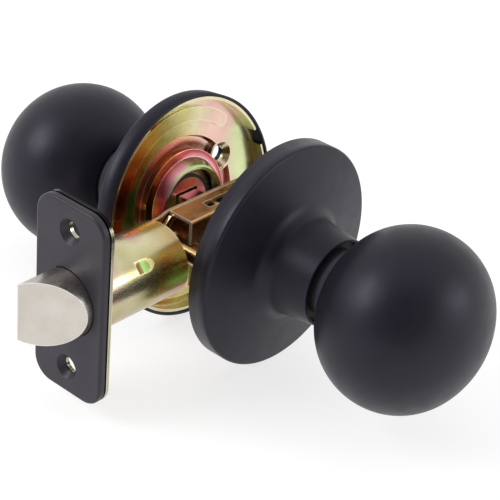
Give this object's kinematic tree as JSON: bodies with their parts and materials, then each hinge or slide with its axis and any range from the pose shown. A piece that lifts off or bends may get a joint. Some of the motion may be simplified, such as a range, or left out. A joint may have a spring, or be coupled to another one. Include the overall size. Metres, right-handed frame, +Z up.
{
  "type": "passage door knob set",
  "caption": "Ball-knob passage set with round roses, square spindle, tie-screw posts and a beveled spring latch with faceplate, shown ready to fit.",
  "frame": {"origin": "point where the spindle's axis crosses the latch's axis, midway between the tie-screw posts", "axes": "+Y along the spindle towards the interior knob, -X along the latch towards the faceplate and bolt, +Z up"},
  "size_m": [0.1064, 0.1682, 0.0658],
  "materials": {
    "black_paint": "satin black paint with a faint blue-violet cast",
    "yellow_zinc": "yellow iridescent zinc plating, khaki with pink and green tints",
    "bolt_steel": "satin steel",
    "spring_steel": "bright drawn wire and strip",
    "nylon": "off-white moulded nylon",
    "diecast_zinc": "grey die-cast zinc alloy"
  },
  "bodies": {
    "latch_case": {"faceplate": "black_paint", "backplate": "yellow_zinc", "latch_tube": "yellow_zinc", "tube_guide": "nylon", "case_front": "yellow_zinc", "case_rear": "yellow_zinc", "case_rivets": "spring_steel", "bolt_spring": "spring_steel"},
    "latch_hub": {"latch_hub": "diecast_zinc"},
    "spring_bolt": {"latch_bolt": "bolt_steel", "bolt_rod": "spring_steel", "retractor_yoke": "yellow_zinc"},
    "exterior_half": {"exterior_rose": "black_paint", "exterior_liner": "yellow_zinc", "exterior_spring_cover": "yellow_zinc", "exterior_return_spring": "spring_steel", "exterior_bushing": "nylon", "threaded_posts": "yellow_zinc"},
    "exterior_knob": {"exterior_knob_shell": "black_paint", "exterior_knob_shank": "black_paint", "exterior_knob_core": "diecast_zinc", "exterior_retaining_clip": "spring_steel", "exterior_thrust_washer": "nylon", "exterior_spring_driver": "spring_steel", "spindle": "yellow_zinc"},
    "spindle_sleeve": {"interior_spindle_sleeve": "nylon"},
    "interior_bearing": {"interior_bushing": "nylon"},
    "interior_half": {"interior_rose": "black_paint", "interior_liner": "yellow_zinc", "interior_spring_cover": "yellow_zinc", "interior_return_spring": "spring_steel"},
    "interior_knob": {"interior_knob_shell": "black_paint", "interior_knob_shank": "black_paint", "interior_knob_core": "diecast_zinc", "interior_retaining_clip": "spring_steel", "interior_thrust_washer": "nylon", "interior_spring_driver": "spring_steel"}
  },
  "joints": [
    {"name": "exterior_fit", "type": "slide", "parent": "latch_case", "child": "exterior_half", "axis": [0, -1, 0], "range_m": [0, 0.0057]},
    {"name": "knob_turn", "type": "hinge", "parent": "exterior_half", "child": "exterior_knob", "pos_m": [0, 0, 0], "axis": [0, 1, 0], "range_deg": [0, 72], "stiffness_Nm_per_rad": 0.12, "springref_deg": -28.65, "deforming": ["exterior_return_spring"]},
    {"name": "hub_turn", "type": "hinge", "parent": "latch_case", "child": "latch_hub", "pos_m": [0, 0, 0], "axis": [0, 1, 0], "range_deg": [0, 72]},
    {"name": "bolt_slide", "type": "slide", "parent": "latch_case", "child": "spring_bolt", "axis": [1, 0, 0], "range_m": [0, 0.0125], "stiffness_N_per_m": 30, "springref_m": -0.02, "deforming": ["bolt_spring"]},
    {"name": "interior_fit", "type": "slide", "parent": "latch_case", "child": "spindle_sleeve", "axis": [0, 1, 0], "range_m": [0, 0.0093]},
    {"name": "interior_droop", "type": "hinge", "parent": "spindle_sleeve", "child": "interior_bearing", "pos_m": [0, 0.01685, 0], "axis": [1, 0, 0], "range_deg": [0, 8]},
    {"name": "interior_half_turn", "type": "hinge", "parent": "interior_bearing", "child": "interior_half", "pos_m": [0, 0.01685, 0], "axis": [0, 0.9903, -0.1392], "range_deg": [0, 30]},
    {"name": "interior_knob_turn", "type": "hinge", "parent": "interior_bearing", "child": "interior_knob", "pos_m": [0, 0.01685, 0], "axis": [0, 0.9903, -0.1392], "range_deg": [0, 72], "deforming": ["interior_return_spring"]}
  ],
  "couplings": [
    {"joint": "hub_turn", "follows": "knob_turn", "ratio": 1},
    {"joint": "bolt_slide", "follows": "knob_turn", "m_per_rad": 0.009947},
    {"joint": "interior_knob_turn", "follows": "knob_turn", "ratio": 1}
  ]
}
